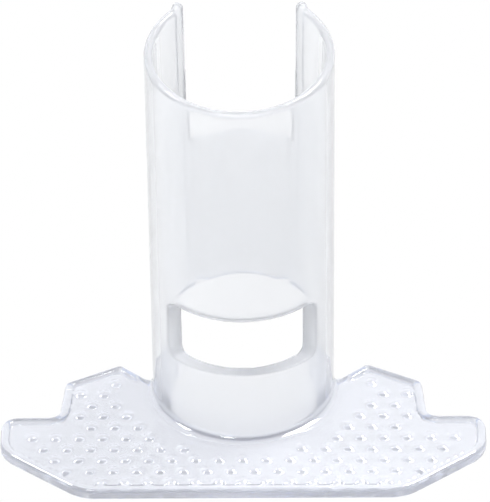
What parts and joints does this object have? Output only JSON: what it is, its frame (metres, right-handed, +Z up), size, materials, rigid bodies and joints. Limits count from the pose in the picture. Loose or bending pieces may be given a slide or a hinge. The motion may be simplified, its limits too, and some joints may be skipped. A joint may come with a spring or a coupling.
{
  "type": "cheek retractor",
  "caption": "Clear moulded retractor: a split flared sleeve with a front window, standing on a pimpled paddle with two wings and two ears.",
  "frame": {"origin": "under the middle of the part, on the plane of the paddle's underside", "axes": "+Z up along the sleeve, -Y to the front where the window is, +X across the wings"},
  "size_m": [0.0518, 0.0278, 0.0464],
  "materials": {
    "sleeve_clear": "clear, very slightly hazy",
    "edge_clear": "clear, polished edges",
    "paddle_clear": "clear with a lilac-blue tint, glossy"
  },
  "bodies": {
    "root": {"sleeve_front_wall": "sleeve_clear", "sleeve_collar": "sleeve_clear", "left_window_post": "sleeve_clear", "right_window_post": "sleeve_clear", "left_arm": "sleeve_clear", "right_arm": "sleeve_clear", "rear_web": "sleeve_clear", "root_fillet": "sleeve_clear", "left_slot_lip": "edge_clear", "right_slot_lip": "edge_clear", "paddle_border": "edge_clear", "paddle_plate": "paddle_clear", "front_grip_skin": "paddle_clear", "left_grip_skin": "paddle_clear", "right_grip_skin": "paddle_clear"}
  },
  "joints": []
}
